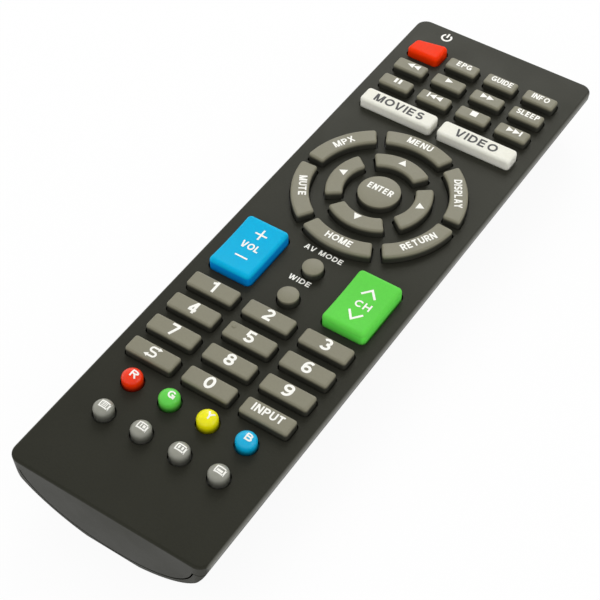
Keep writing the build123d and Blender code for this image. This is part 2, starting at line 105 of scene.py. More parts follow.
class RemoteColours(PropertyGroup):
    """Colours of the plastics, rubbers and inks"""

    case: colour_setting("Case", "Pigment of the moulded case", "#262620")
    # Painted sheen: the paler colour of the case's long edges stands for the bright room mirrored there
    rubbed: colour_setting("Painted edge sheen", "Long edges of the case, painted paler as a mirrored sheen", "#6E6E68")
    grey_keys: colour_setting("Grey keys", "Coating of the plain keys", "#7F7C69")
    white_keys: colour_setting("White keys", "Coating of the two wide keys", "#E9E8DC")
    red_keys: colour_setting("Red keys", "Power key and the first colour key", "#EE3400")
    green_keys: colour_setting("Green keys", "Channel rocker and the second colour key", "#62D04C")
    yellow_key: colour_setting("Yellow key", "Third colour key", "#EEE700")
    blue_keys: colour_setting("Blue keys", "Volume rocker and the fourth colour key", "#02AFDB")
    # Painted light: the channel rocker's sides fade into this brighter green as a painted glow
    green_sides: colour_setting("Green sides", "Sides of the channel rocker", "#67EA53")
    # Painted shade: the volume rocker's sides fade into this deeper blue as painted shade
    blue_sides: colour_setting("Blue sides", "Sides of the volume rocker", "#028DE0")
    domed_keys: colour_setting("Domed keys", "The four plain round keys near the end", "#95958A")
    # Painted shade: the lower sides of the plain keys fade into this colour, partly for dark rubber and partly for
    # shade in the gaps
    bare_keys: colour_setting("Bare keys", "Dark rubber under the coating of the plain keys, with painted shade down their sides", "#33332C")
    light_ink: colour_setting("Light ink", "Legends on the case and the coloured keys", "#F2F1EA")
    dark_ink: colour_setting("Dark ink", "Legends on the white keys", "#3B3B3A")


class RemotePrint(PropertyGroup):
    """Sizes of the printed legends"""

    ink: length_setting("Ink height", "How far the ink stands above the surface", 0.02)
    grid_cap: length_setting("Grid lettering", "Height of the capitals on the small keys", 1.85)
    app_cap: length_setting("Wide key lettering", "Height of the capitals on the two wide keys", 2.6)
    ring_cap: length_setting("Ring lettering", "Height of the capitals on the ring", 1.95)
    case_cap: length_setting("Case lettering", "Height of the capitals on the case", 1.5)
    rocker_cap: length_setting("Rocker lettering", "Height of the capitals on the rockers", 2.0)
    digit: length_setting("Digits", "Height of the digits", 3.3)
    input_cap: length_setting("Input lettering", "Height of the capitals on the last number key", 2.15)
    dome_cap: length_setting("Dome lettering", "Height of the letters on the colour keys", 1.9)


class RemoteStage(PropertyGroup):
    """Light and floor"""

    overhead: power_setting("Overhead lamp", "Power of the large lamp above the far end", 0.9)
    far: power_setting("Far lamp", "Power of the lamp beyond the far end, which the face mirrors", 4.0)
    side: power_setting("Side lamp", "Power of the lamp at the right", 1.0)
    front: power_setting("Front lamp", "Power of the lamp before the near end", 2.0)
    sky: FloatProperty(name="Sky", description="Strength of the light from all round", min=0, default=0.65)
    floor: colour_setting("Floor", "Colour of the table top", "#F4F4F4")


def settings():
    """The user's settings."""
    return bpy.context.scene.remote_colours, bpy.context.scene.remote_print, bpy.context.scene.remote_stage


# Materials

# The range that most of a noise lies in, and how far roughness strays
NOISE_LOW, NOISE_HIGH = 0.3, 0.7
GLOSS_DRIFT = 0.06


def add_node(tree, kind, values=None, links=None, **options):
    """Adds a node, sets its options and sockets, and links sockets into it."""
    node = tree.nodes.new(kind)
    for name, value in options.items():
        setattr(node, name, value)
    for name, value in (values or {}).items():
        node.inputs[name].default_value = value
    for name, source in (links or {}).items():
        tree.links.new(source, node.inputs[name])
    return node


def new_material(name):
    """An empty material with its output node."""
    material = bpy.data.materials.new(name)
    material.use_nodes = True
    tree = material.node_tree
    tree.nodes.clear()
    return material, tree, add_node(tree, "ShaderNodeOutputMaterial")


def grain_scale(millimetres):
    """Noise scale for a grain of that size, in object coordinates of metres."""
    return 1 / (millimetres * MM)


def moulded(name, colour, roughness, grain, depth, cloud, drift, values=None):
    """A pigmented moulding: a fine grain in the surface, and slow drifts of tone and gloss.

    The grain, its depth and the clouds are in millimetres, and drift is the share by which the tone strays.
    """
    material, tree, output = new_material(name)
    place = add_node(tree, "ShaderNodeTexCoord").outputs["Object"]
    fine = add_node(tree, "ShaderNodeTexNoise", {"Scale": grain_scale(grain), "Detail": 3.0, "Roughness": 0.6},
                    {"Vector": place})
    slow = add_node(tree, "ShaderNodeTexNoise", {"Scale": grain_scale(cloud), "Detail": 4.0, "Roughness": 0.55},
                    {"Vector": place})

    def stray(noise, middle, reach):
        """A number that strays from its middle by a reach, as a noise does."""
        limits = {"From Min": NOISE_LOW, "From Max": NOISE_HIGH, "To Min": middle - reach, "To Max": middle + reach}
        return add_node(tree, "ShaderNodeMapRange", limits, {"Value": noise.outputs["Fac"]}).outputs["Result"]

    tone = add_node(tree, "ShaderNodeMath", links={0: stray(slow, 1, drift), 1: stray(fine, 1, drift)},
                    operation="MULTIPLY")
    paint = add_node(tree, "ShaderNodeVectorMath", {0: colour}, {"Scale": tone.outputs["Value"]}, operation="SCALE")
    bump = add_node(tree, "ShaderNodeBump", {"Strength": 0.5, "Distance": depth * MM}, {"Height": fine.outputs["Fac"]})
    shader = add_node(tree, "ShaderNodeBsdfPrincipled", values, {
        "Base Color": paint.outputs["Vector"], "Roughness": stray(slow, roughness, GLOSS_DRIFT),
        "Normal": bump.outputs["Normal"]})
    tree.links.new(shader.outputs["BSDF"], output.inputs["Surface"])
    return material


def place_in(material):
    """Places in a material, one socket for each axis."""
    tree = material.node_tree
    whole = add_node(tree, "ShaderNodeTexCoord")
    return add_node(tree, "ShaderNodeSeparateXYZ", links={0: whole.outputs["Object"]}).outputs


def fade(material, colour, distance, start, end):
    """Fades a moulding into another colour while a distance goes from start to end, in millimetres."""
    tree = material.node_tree
    paint = next(link for link in tree.links if link.to_socket.name == "Base Color")
    share = add_node(tree, "ShaderNodeMapRange", {"From Min": start * MM, "From Max": end * MM}, {"Value": distance})
    # Sockets 4 and 5 are the two vectors that this node mixes
    mixed = add_node(tree, "ShaderNodeMix", {5: colour}, {0: share.outputs["Result"], 4: paint.from_socket},
                     data_type="VECTOR")
    tree.links.new(mixed.outputs[1], paint.to_socket)
    return material


def dress(nodes, material):
    """Gives CAD nodes a material through their objects' slots."""
    for name in nodes:
        thing = frame["nodes"][name]
        if not thing.material_slots:
            thing.data.materials.append(None)
        for slot in thing.material_slots:
            slot.link = "OBJECT"
            slot.material = material


# Drawings in millimetres. A shape is its points and a line width; with no width it is a filled outline

def oval(x, y, across, up, start, end, steps=14):
    """Points along an ellipse; angles in degrees from the right, anticlockwise."""
    turns = [math.radians(start + (end - start) * i / steps) for i in range(steps + 1)]
    return [(x + across * math.cos(t), y + up * math.sin(t)) for t in turns]


def ring(x, y, across, up):
    """A whole ellipse, its last point on its first."""
    points = oval(x, y, across, up, 0, 360, 20)
    return points[:-1] + points[:1]


def bar(x, y, width, height):
    """A filled rectangle round a point, drawn as one upright line."""
    return [(x, y - height / 2), (x, y + height / 2)], width


def wedge(x, width, height):
    """A triangle that points right, or left where the width is negative."""
    return [(x - width / 2, -height / 2), (x + width / 2, 0), (x - width / 2, height / 2)], None


# A screen's frame
SCREEN = [(-1.055, -0.755), (1.055, -0.755), (1.055, 0.755), (-1.055, 0.755), (-1.055, -0.755)], 0.34

# Centre lines of a plain bold alphabet, one unit high
WEIGHT = 0.2            # of its lines
EDGE = WEIGHT / 2       # where the middle of a line at the edge runs
ROOF = 1 - EDGE
SPACE = 0.45            # between words
LETTER_GAP = 0.13

STEM = [(EDGE, 0), (EDGE, 1)]
BOWL = [(EDGE, ROOF), (0.36, ROOF)] + oval(0.36, 0.69, 0.21, 0.21, 90, -90) + [(EDGE, 0.48)]

GLYPHS = {
    "A": [[(0.1, 0), (0.35, 1)], [(0.43, 1), (0.68, 0)], [(0.2, 0.3), (0.58, 0.3)]],
    "B": [STEM, [(EDGE, ROOF), (0.35, ROOF)] + oval(0.35, 0.71, 0.19, 0.19, 90, -90) + [(EDGE, 0.52)],
          [(0.35, 0.52)] + oval(0.38, 0.31, 0.22, 0.21, 90, -90) + [(EDGE, EDGE)]],
    "C": [oval(0.43, 0.5, 0.33, 0.4, 42, 318)],
    "D": [STEM, [(EDGE, ROOF), (0.3, ROOF)] + oval(0.32, 0.5, 0.33, 0.4, 90, -90) + [(EDGE, EDGE)]],
    "E": [[(0.6, ROOF), (EDGE, ROOF), (EDGE, EDGE), (0.61, EDGE)], [(EDGE, 0.51), (0.56, 0.51)]],
    "F": [[(0.58, ROOF), (EDGE, ROOF), (EDGE, 0)], [(EDGE, 0.49), (0.52, 0.49)]],
    "G": [oval(0.43, 0.5, 0.33, 0.4, 42, 335), [(0.44, 0.44), (0.75, 0.44), (0.75, 0.05)]],
    "H": [STEM, [(0.64, 0), (0.64, 1)], [(EDGE, 0.52), (0.64, 0.52)]],
    "I": [STEM],
    "L": [[(EDGE, 1), (EDGE, EDGE), (0.56, EDGE)]],
    "M": [STEM, [(0.77, 0), (0.77, 1)], [(0.15, 1), (0.4, 0)], [(0.47, 0), (0.72, 1)]],
    "N": [STEM, [(0.64, 0), (0.64, 1)], [(0.13, 0.96), (0.61, 0.04)]],
    "O": [ring(0.43, 0.5, 0.34, 0.4)],
    "P": [STEM, BOWL],
    "R": [STEM, BOWL, [(0.36, 0.47), (0.58, 0)]],
    "S": [oval(0.33, 0.705, 0.23, 0.195, 25, 270) + oval(0.33, 0.305, 0.24, 0.205, 90, -155)],
    "T": [[(0, ROOF), (0.62, ROOF)], [(0.31, ROOF), (0.31, 0)]],
    "U": [[(EDGE, 1)] + oval(0.36, 0.36, 0.26, 0.26, 180, 360) + [(0.62, 1)]],
    "V": [[(0.06, 1), (0.31, 0)], [(0.39, 0), (0.64, 1)]],
    "W": [[(0.06, 1), (0.24, 0)], [(0.3, 0), (0.46, 1)], [(0.5, 1), (0.66, 0)], [(0.72, 0), (0.9, 1)]],
    "X": [[(0.07, 0), (0.6, 1)], [(0.07, 1), (0.6, 0)]],
    "Y": [[(0.06, 1), (0.34, 0.46), (0.62, 1)], [(0.34, 0.5), (0.34, 0)]],
    "0": [ring(0.33, 0.5, 0.23, 0.4)],
    "1": [[(0.04, 0.74), (0.3, 0.86)], [(0.3, 1), (0.3, 0)]],
    "2": [oval(0.32, 0.68, 0.22, 0.22, 165, -35) + [(0.12, 0.16)], [(0.03, EDGE), (0.58, EDGE)]],
    "3": [oval(0.3, 0.705, 0.2, 0.195, 155, -90), oval(0.3, 0.305, 0.23, 0.205, 90, -155)],
    "4": [[(0.43, 0), (0.43, 1)], [(0.4, 0.93), (0.1, 0.34)], [(0.03, 0.28), (0.6, 0.28)]],
    "5": [[(0.54, ROOF), (0.15, ROOF), (0.13, 0.5)], oval(0.31, 0.32, 0.23, 0.22, 135, -155)],
    "6": [ring(0.33, 0.32, 0.22, 0.22), oval(0.38, 0.5, 0.27, 0.4, 190, 55)],
    "7": [[(0.03, ROOF), (0.56, ROOF)], [(0.52, 0.86), (0.23, 0)]],
    "8": [ring(0.32, 0.71, 0.19, 0.19), ring(0.32, 0.31, 0.22, 0.21)],
    "9": [ring(0.31, 0.68, 0.22, 0.22), oval(0.26, 0.5, 0.27, 0.4, 10, -125)],
}


def word(text, cap, width=None):
    """Shapes of a word round its middle, its capitals cap high, set to a width where one is given."""
    lines, reach = [], 0
    for letter in text:
        if letter == " ":
            reach += SPACE
            continue
        glyph = [[(reach + x, y) for x, y in line] for line in GLYPHS[letter]]
        lines += glyph
        reach = max(x for line in glyph for x, y in line) + EDGE + LETTER_GAP
    span = reach - LETTER_GAP
    stretch = (width / cap - WEIGHT) / (span - WEIGHT) if width and span > WEIGHT else 1
    return [([((x - span / 2) * cap * stretch, (y - 0.5) * cap) for x, y in line], WEIGHT * cap) for line in lines]


SYMBOLS = {
    "power": [(oval(0, 0, 1.25, 1.25, 125, 415, 30), 0.52), bar(0, 0.85, 0.5, 1.7)],
    "rewind": [wedge(-0.88, -1.8, 1.75), wedge(0.88, -1.8, 1.75)],
    "play": [wedge(0, 1.9, 1.75)],
    "forward": [wedge(-0.88, 1.8, 1.75), wedge(0.88, 1.8, 1.75)],
    "pause": [bar(-0.6, 0, 0.7, 1.7), bar(0.6, 0, 0.7, 1.7)],
    "previous": [bar(-1.95, 0, 0.45, 1.75), wedge(-0.82, -1.75, 1.75), wedge(0.95, -1.75, 1.75)],
    "stop": [bar(0, 0, 1.8, 1.75)],
    "next": [wedge(-0.95, 1.75, 1.75), wedge(0.82, 1.75, 1.75), bar(1.95, 0, 0.45, 1.75)],
    "arrow": [([(-1.05, -0.9), (1.05, -0.9), (0, 0.95)], None)],
    "plus": [([(-1.6, 0), (1.6, 0)], 0.45), bar(0, 0, 0.45, 3.2)],
    "minus": [([(-1.7, 0), (1.7, 0)], 0.45)],
    "chevron": [([(-1.8, -1.1), (0, 0.95), (1.8, -1.1)], 0.55)],
    "chevron down": [([(-1.8, 1.2), (0, -1.1), (1.8, 1.2)], 0.55)],
    "swap": [([(0.85, 1.2)] + oval(-0.35, 0.6, 0.62, 0.6, 90, 270, 8) + oval(0.35, -0.6, 0.62, 0.6, 90, -90, 8)
              + [(-0.85, -1.2)], 0.5),
             ([(0.75, 0.65), (1.75, 1.2), (0.75, 1.7)], None), ([(-0.75, -0.6), (-0.75, -1.75), (-1.75, -1.2)], None)],
    "text": [SCREEN] + [([(-0.7, y), (0.7, y)], 0.2) for y in (-0.36, 0, 0.36)],
    "size": [SCREEN, bar(-0.3, 0, 0.26, 0.9), bar(0.42, 0, 0.56, 0.75)],
    "hold": [SCREEN, bar(-0.42, 0, 0.42, 0.8), bar(0.42, 0, 0.42, 0.8)],
    "caption": [SCREEN, ([(-0.7, -0.2), (0.7, -0.2)], 0.55)],
}


# Pieces

BODY_OF = {node: body for body, nodes in frame["record"]["behaviour"]["bodies"].items() for node in nodes}


def finished(name, made, material, body):
    """Turns mesh code into a piece that rides on a body."""
    data = bpy.data.meshes.new(name)
    made.to_mesh(data)
    made.free()
    data.materials.append(material)
    piece = bpy.data.objects.new(name, data)
    bpy.context.scene.collection.objects.link(piece)
    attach(piece, body)


# Printing

STEP = 0.35             # longest piece of a line, in millimetres, so that ink can follow a curved key
SHARPEST = 0.35         # least cosine of half a turn in a line, so that no corner shoots out
LAYERS = 5              # heights that the strokes of a legend take in turn, so that crossing ones share no face
LAYER_STEP = 0.06       # between two of them, as a share of the ink's height
ROOT = 1.5              # how deep ink reaches under the surface, in heights of it
OVER = 10 * MM          # where the rays that find the surface start, above the node's top
DEEPEST = 2.2 * MM      # how far below that top ink may lie


def finely(points):
    """The same line with points no further apart than STEP."""
    fine = [Vector(points[0])]
    for start, end in zip(points, points[1:]):
        start, end = Vector(start), Vector(end)
        count = max(1, math.ceil((end - start).length / STEP))
        fine += [start.lerp(end, i / count) for i in range(1, count + 1)]
    return fine


def two_sides(points, width):
    """The left and right edges of a line of that width."""
    closed = (points[0] - points[-1]).length < 1e-6
    last = len(points) - 1
    sides = []
    for i, point in enumerate(points):
        before = points[last - 1 if closed and i == 0 else max(i - 1, 0)]
        after = points[1 if closed and i == last else min(i + 1, last)]
        arriving = (point - before) if before != point else (after - point)
        leaving = (after - point) if after != point else arriving
        along = (arriving.normalized() + leaving.normalized()).normalized()
        across = Vector((-along.y, along.x))
        reach = width / 2 / max(SHARPEST, along.dot(arriving.normalized()))
        sides.append((point + across * reach, point - across * reach))
    return sides, closed


def print_on(node, name, shapes, place, turn, material):
    """Lays shapes on a CAD node as a thin coat of ink that follows its surface, and lets it ride with the node."""
    ink = bpy.context.scene.remote_print.ink
    carrier = frame["nodes"][node]
    surface = BVHTree.FromPolygons([v.co for v in carrier.data.vertices], [p.vertices for p in carrier.data.polygons])
    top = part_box(node)[1].z
    onto = Matrix.Translation((*place, 0)) @ Matrix.Rotation(math.radians(turn), 4, "Z") @ Matrix.Scale(MM, 4)
    made = bmesh.new()

    def pair(point, lift):
        """Two vertices over each other, just under the surface and on top of the ink."""
        spot = onto @ Vector((point[0], point[1], 0))
        hit = surface.ray_cast(Vector((spot.x, spot.y, top + OVER)), Vector((0, 0, -1)))[0]
        if hit is None or hit.z < top - DEEPEST:
            raise RuntimeError(f"the legend {name} runs over the edge of {node}")
        return tuple(made.verts.new((spot.x, spot.y, hit.z + rise)) for rise in (-ROOT * ink, lift))

    for index, (points, width) in enumerate(shapes):
        lift = ink * (1 - LAYER_STEP * (index % LAYERS))
        if width is None:
            loop = [pair(point, lift) for point in points]
            made.faces.new([high for low, high in loop])
            made.faces.new([low for low, high in reversed(loop)])
            for (low, high), (next_low, next_high) in zip(loop, loop[1:] + loop[:1]):
                made.faces.new((low, next_low, next_high, high))
            continue
        sides, closed = two_sides(finely(points), width)
        rows = [(*pair(left, lift), *pair(right, lift)) for left, right in (sides[:-1] if closed else sides)]
        for one, two in zip(rows, rows[1:] + (rows[:1] if closed else [])):
            for a, b in ((0, 1), (1, 3), (3, 2), (2, 0)):
                made.faces.new((one[a], one[b], two[b], two[a]))
        if not closed:
            made.faces.new([rows[0][i] for i in (0, 2, 3, 1)])
            made.faces.new([rows[-1][i] for i in (0, 1, 3, 2)])
    bmesh.ops.recalc_face_normals(made, faces=made.faces)
    finished(name, made, material, BODY_OF[node])


def middle_of(node):
    """A CAD node's middle in plan, in millimetres."""
    low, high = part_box(node)
    return (low.x + high.x) / 2 / MM, (low.y + high.y) / 2 / MM


def ink_material(name, colour):
    """Screen printed ink, matt and a little uneven where the mesh of the screen left it."""
    return moulded(name, colour, 0.5, 0.5, 0.004, 3.0, 0.03, {"Specular IOR Level": 0.35})


def print_key(node, legend, x, y, ink, cap, width=None, turn=0):
    """Prints a symbol or a word at a place on the face, in millimetres."""
    shapes = SYMBOLS.get(legend) or word(legend, cap / MM, width)
    print_on(node, f"print_{node}_{legend.lower().replace(' ', '_')}", shapes, (x * MM, y * MM), turn, ink)


PAINTED_FOOT_SHADE = 0.22       # painted shade: tone at the foot of a domed key, as a share of that at its top


class RemoteCaseFinish(Operator):
    """Give the case, the battery door and the marks on the case their finish"""

    bl_idname = "remote.case_finish"
    bl_label = "Case finish"

    def execute(self, context):
        colours, prints, _ = settings()
        # ABS moulded in a spark-eroded tool: an even, fine leather-like grain that breaks up highlights. The grain is
        # drawn a few times coarser than the real one, so that it shows
        plastic = moulded("spark_eroded_abs", colours.case, 0.46, 0.5, 0.03, 18.0, 0.05,
                          {"IOR": 1.53, "Specular IOR Level": 0.125, "Specular Tint": (1.0, 1.0, 0.8, 1.0)})
        # The last half millimetre of the long edges is painted paler: a painted sheen that stands for the bright room
        # mirrored at the edges
        across = add_node(plastic.node_tree, "ShaderNodeMath", links={0: place_in(plastic)["X"]}, operation="ABSOLUTE")
        half_width = CAD_BOX[1][0] / MM
        fade(plastic, colours.rubbed, across.outputs["Value"], half_width - 0.505, half_width - 0.005)
        dress(["front_cover", "back_shell", "battery_door"], plastic)
        ink = ink_material("white_case_ink", colours.light_ink)
        for legend, x, y, width in (("power", -15.89, 81.31, None), ("AV MODE", -0.85, -1.3, 10.4),
                                    ("WIDE", -0.97, -11.1, 5.75)):
            print_key("front_cover", legend, x, y, ink, prints.case_cap, width)
        return {"FINISHED"}


class RemoteKeyFinish(Operator):
    """Give every key its coloured silicone"""

    bl_idname = "remote.key_finish"
    bl_label = "Key finish"

    def execute(self, context):
        colours, _, _ = settings()
        # Silicone rubber with a sprayed matt coat: opaque, with broad soft highlights
        coated = {"IOR": 1.41, "Specular IOR Level": 0.45}
        # Silicone rubber coloured right through: light enters it, so that its sides glow with its own colour
        clear = {"IOR": 1.41, "Specular IOR Level": 0.12, "Subsurface Weight": 0.4,
                 "Subsurface Radius": (1.0, 1.0, 1.0), "Subsurface Scale": MM}
        for slot, colour, rubber in (
                ("grey_silicone", colours.grey_keys, coated), ("white_silicone", colours.white_keys, clear),
                ("red_silicone", colours.red_keys, clear), ("green_silicone", colours.green_keys, clear),
                ("blue_silicone", colours.blue_keys, clear)):
            nodes = [s["node"] for s in frame["record"]["subparts"] if s["material_slot"] == slot]
            dress(nodes, moulded(f"moulded_{slot}", colour, 0.5, 0.6, 0.01, 9.0, 0.03, rubber))
        # The grey coat is sprayed from above on dark rubber, so it runs out down the sides; the darkening down the
        # sides is also painted shade.
        # On the rockers' sides the blue is painted deeper as shade and the green is painted brighter as a glow of
        # light. The two numbers are heights on the key
        for slot, colour, start, end in (
                ("grey_silicone", colours.bare_keys, 18.4, 17.6), ("blue_silicone", colours.blue_sides, 18.8, 18.2),
                ("green_silicone", colours.green_sides, 18.8, 18.2)):
            rubber = bpy.data.materials[f"moulded_{slot}"]
            fade(rubber, colour, place_in(rubber)["Z"], start, end)
        # The round keys near the end come from a polished tool: the same rubber, smoother and glossier
        polished = {**clear, "Specular IOR Level": 0.35, "Coat Weight": 0.25, "Coat Roughness": 0.2}
        for name, colour, start, foot, nodes in (
                ("grey", colours.domed_keys, 19.3, 17.2, ["text_key", "size_key", "hold_key", "caption_key"]),
                ("red", colours.red_keys, 18.0, 16.8, ["red_key"]),
                ("green", colours.green_keys, 18.0, 16.8, ["green_key"]),
                ("yellow", colours.yellow_key, 18.0, 16.8, ["yellow_key"]),
                ("blue", colours.blue_keys, 18.0, 16.8, ["blue_key"])):
            # Painted shade: each dome is painted darker towards its foot, where shade falls round it
            rubber = moulded(f"polished_{name}_silicone", colour, 0.34, 0.8, 0.004, 9.0, 0.02, polished)
            dress(nodes, fade(rubber, [c * PAINTED_FOOT_SHADE for c in colour], place_in(rubber)["Z"], start, foot))
        return {"FINISHED"}


class RemoteInsideFinish(Operator):
    """Give the board, the mat, the lamp, the cells and the metal parts their finish"""

    bl_idname = "remote.inside_finish"
    bl_label = "Inside finish"

    def execute(self, context):
        # Bare moulded silicone, dark and matt
        dress(["keypad_mat"], moulded("carbon_silicone", linear("#262624"), 0.7, 0.5, 0.02, 12.0, 0.06))
        # Glass-epoxy laminate under a green solder mask, satin
        dress(["circuit_board"], moulded("masked_laminate", linear("#1B5A31"), 0.35, 0.3, 0.01, 5.0, 0.08,
                                         {"Coat Weight": 0.4}))
        # Water-clear epoxy with a violet tint that passes infrared
        dress(["ir_lamp"], moulded("tinted_epoxy", linear("#7E86B4"), 0.12, 2.0, 0.001, 6.0, 0.02,
                                   {"IOR": 1.55, "Transmission Weight": 0.7}))
        # Transfer-moulded black epoxy, matt
        dress(["controller_chip"], moulded("chip_epoxy", linear("#151515"), 0.6, 0.2, 0.01, 3.0, 0.06))
        # Heat-shrunk printed film, blue with gold towards the plus end, and bare steel at both ends. The two cells lie
        # head to tail, so places along them are counted from their middle and turned round for one of them
        film = moulded("printed_film", linear("#22305F"), 0.25, 4.0, 0.002, 15.0, 0.04, {"Coat Weight": 0.5})
        tree, place = film.node_tree, place_in(film)
        middle = sum(corner.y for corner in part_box("battery_cells")) / 2
        side = add_node(tree, "ShaderNodeMath", links={0: place["X"]}, operation="SIGN")
        beyond = add_node(tree, "ShaderNodeMath", {1: middle}, {0: place["Y"]}, operation="SUBTRACT")
        along = add_node(tree, "ShaderNodeMath", links={0: beyond.outputs["Value"], 1: side.outputs["Value"]},
                         operation="MULTIPLY")
        gold, steel = linear("#B8863B"), linear("#B9B7B0")
        for colour, start, end in ((gold, -11.9, -12.0), (steel, -22.1, -22.2), (steel, 21.05, 21.1)):
            fade(film, colour, along.outputs["Value"], start, end)
        dress(["battery_cells"], film)
        # Nickel-plated spring steel and plain steel screws
        for name, nodes, code, rough in (("nickel_plate", ["battery_bridge", "battery_terminals"], "#C9C7C0", 0.28),
                                         ("screw_steel", ["case_screws"], "#8F8F8C", 0.38)):
            dress(nodes, moulded(name, linear(code), rough, 0.8, 0.004, 4.0, 0.05, {"Metallic": 1.0}))
        return {"FINISHED"}


class RemoteGridLegends(Operator):
    """Print the small keys of the grid and the two wide keys"""

    bl_idname = "remote.grid_legends"
    bl_label = "Grid legends"

    def execute(self, context):
        colours, prints, _ = settings()
        ink = ink_material("white_key_ink", colours.light_ink)
        for key, legend, x, y, width in (
                ("epg_key", "EPG", -5.3, 72.0, 4.2), ("guide_key", "GUIDE", 5.8, 71.95, 6.1),
                ("info_key", "INFO", 16.85, 71.9, 4.8),
                ("rewind_key", "rewind", -16.2, 64.7, None), ("play_key", "play", -5.55, 64.7, None),
                ("forward_key", "forward", 5.5, 64.7, None), ("sleep_key", "SLEEP", 17.0, 64.75, 6.2),
                ("pause_key", "pause", -16.5, 57.5, None), ("previous_key", "previous", -5.55, 57.5, None),
                ("stop_key", "stop", 5.65, 57.5, None), ("next_key", "next", 16.9, 57.45, None)):
            print_key(key, legend, x, y, ink, prints.grid_cap, width)
        dark = ink_material("dark_key_ink", colours.dark_ink)
        for key, legend, x, width in (("app_key_left", "MOVIES", -11.1, 14.0), ("app_key_right", "VIDEO", 11.1, 11.5)):
            print_key(key, legend, x, 49.0, dark, prints.app_cap, width)
        return {"FINISHED"}


class RemoteRingLegends(Operator):
    """Print the keys of the ring"""

    bl_idname = "remote.ring_legends"
    bl_label = "Ring legends"

    def execute(self, context):
        prints = settings()[1]
        ink = bpy.data.materials["white_key_ink"]
        for key, legend, x, y, width, turn in (
                ("mpx_key", "MPX", -16.1, 31.1, 5.5, 60), ("menu_key", "MENU", 0.05, 40.6, 6.8, 0),
                ("display_key", "DISPLAY", 16.2, 31.05, 9.4, -60), ("return_key", "RETURN", 16.2, 12.6, 9.2, 60),
                ("home_key", "HOME", 0.5, 3.0, 7.1, 0), ("mute_key", "MUTE", -16.2, 12.9, 6.7, -60),
                ("up_key", "arrow", 0, 32.85, None, 0), ("right_key", "arrow", 11.0, 22.35, None, -90),
                ("down_key", "arrow", -0.05, 11.3, None, 180), ("left_key", "arrow", -10.85, 22.25, None, 90),
                ("enter_key", "ENTER", 0.05, 22.1, 6.8, 0)):
            print_key(key, legend, x, y, ink, prints.ring_cap, width, turn)
        return {"FINISHED"}


DIGIT_WIDTH = 0.74      # of a digit, as a share of its height
ONE_WIDTH = 0.45        # of the digit one
PIP_PLACE = -4.7, 0.75  # from the middle of its key, in millimetres
PIP_RADIUS = 0.5 * MM
PIP_FLATNESS = 0.45     # how high the pip is, as a share of its radius


class RemoteNumberLegends(Operator):
    """Print the number keys and raise the pip on the middle one"""

    bl_idname = "remote.number_legends"
    bl_label = "Number legends"

    def execute(self, context):
        prints = settings()[1]
        ink = bpy.data.materials["white_key_ink"]
        for number in range(10):
            x, y = middle_of(f"key_{number}")
            width = prints.digit / MM * (ONE_WIDTH if number == 1 else DIGIT_WIDTH)
            print_key(f"key_{number}", str(number), x, y + 0.2, ink, prints.digit, width)
        # A low pip, moulded with the key, that a thumb finds in the dark
        x, y = middle_of("key_5")
        made = bmesh.new()
        top = Matrix.Translation(((x + PIP_PLACE[0]) * MM, (y + PIP_PLACE[1]) * MM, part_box("key_5")[1].z))
        bmesh.ops.create_uvsphere(made, u_segments=24, v_segments=12, radius=PIP_RADIUS,
                                  matrix=top @ Matrix.Scale(PIP_FLATNESS, 4, (0, 0, 1)))
        finished("pip_key_5", made, bpy.data.materials["moulded_grey_silicone"], BODY_OF["key_5"])
        x, y = middle_of("swap_key")
        print_key("swap_key", "swap", x, y + 0.15, ink, prints.digit)
        x, y = middle_of("input_key")
        print_key("input_key", "INPUT", x, y + 0.35, ink, prints.input_cap, 7.9)
        return {"FINISHED"}


class RemoteRockerLegends(Operator):
    """Print the volume and channel rockers"""

    bl_idname = "remote.rocker_legends"
    bl_label = "Rocker legends"

    def execute(self, context):
        prints = settings()[1]
        ink = bpy.data.materials["white_key_ink"]
        for key, legend, x, y, width in (
                ("volume_rocker", "plus", -14.95, -6.4, None), ("volume_rocker", "VOL", -14.95, -10.6, 5.0),
                ("volume_rocker", "minus", -15.05, -14.35, None), ("channel_rocker", "chevron", 15.55, -7.45, None),
                ("channel_rocker", "CH", 16.0, -11.3, 4.0), ("channel_rocker", "chevron down", 15.8, -15.0, None)):
            print_key(key, legend, x, y, ink, prints.rocker_cap, width)
        return {"FINISHED"}


class RemoteDomeLegends(Operator):
    """Print the round keys near the end, the ink following their domes"""

    bl_idname = "remote.dome_legends"
    bl_label = "Dome legends"

    def execute(self, context):
        prints = settings()[1]
        ink = bpy.data.materials["white_key_ink"]
        # The photograph shows the letters a little further right than the signs
        for key, legend, right, width in (
                ("red_key", "R", 0.65, 1.65), ("green_key", "G", 0.65, 1.7), ("yellow_key", "Y", 0.65, 1.65),
                ("blue_key", "B", 0.65, 1.6), ("text_key", "text", 0.4, None), ("size_key", "size", 0.4, None),
                ("hold_key", "hold", 0.4, None), ("caption_key", "caption", 0.4, None)):
            x, y = middle_of(key)
            print_key(key, legend, x + right, y + 0.2, ink, prints.dome_cap, width)
        return {"FINISHED"}


# Stage

LAMP_AIM = (0, 0, 0.01)
FLOOR_RADIUS = 4.0
FLOOR_GAP = 0.1 * MM    # under the remote, so that the floor and the strip it lies on don't flicker into each other
PLAIN_WHITE = 0.93      # how much of the floor is plain white where it is looked at; the rest takes the shadow
# Where the photograph was taken from, worked out from the places of the 49 keys in it
CAMERA_PLACE = (0.12573, -0.20169, 0.27865)
CAMERA_AIM = (0.00222, -0.01596, 0.0166)
CAMERA_LENS = 91.476


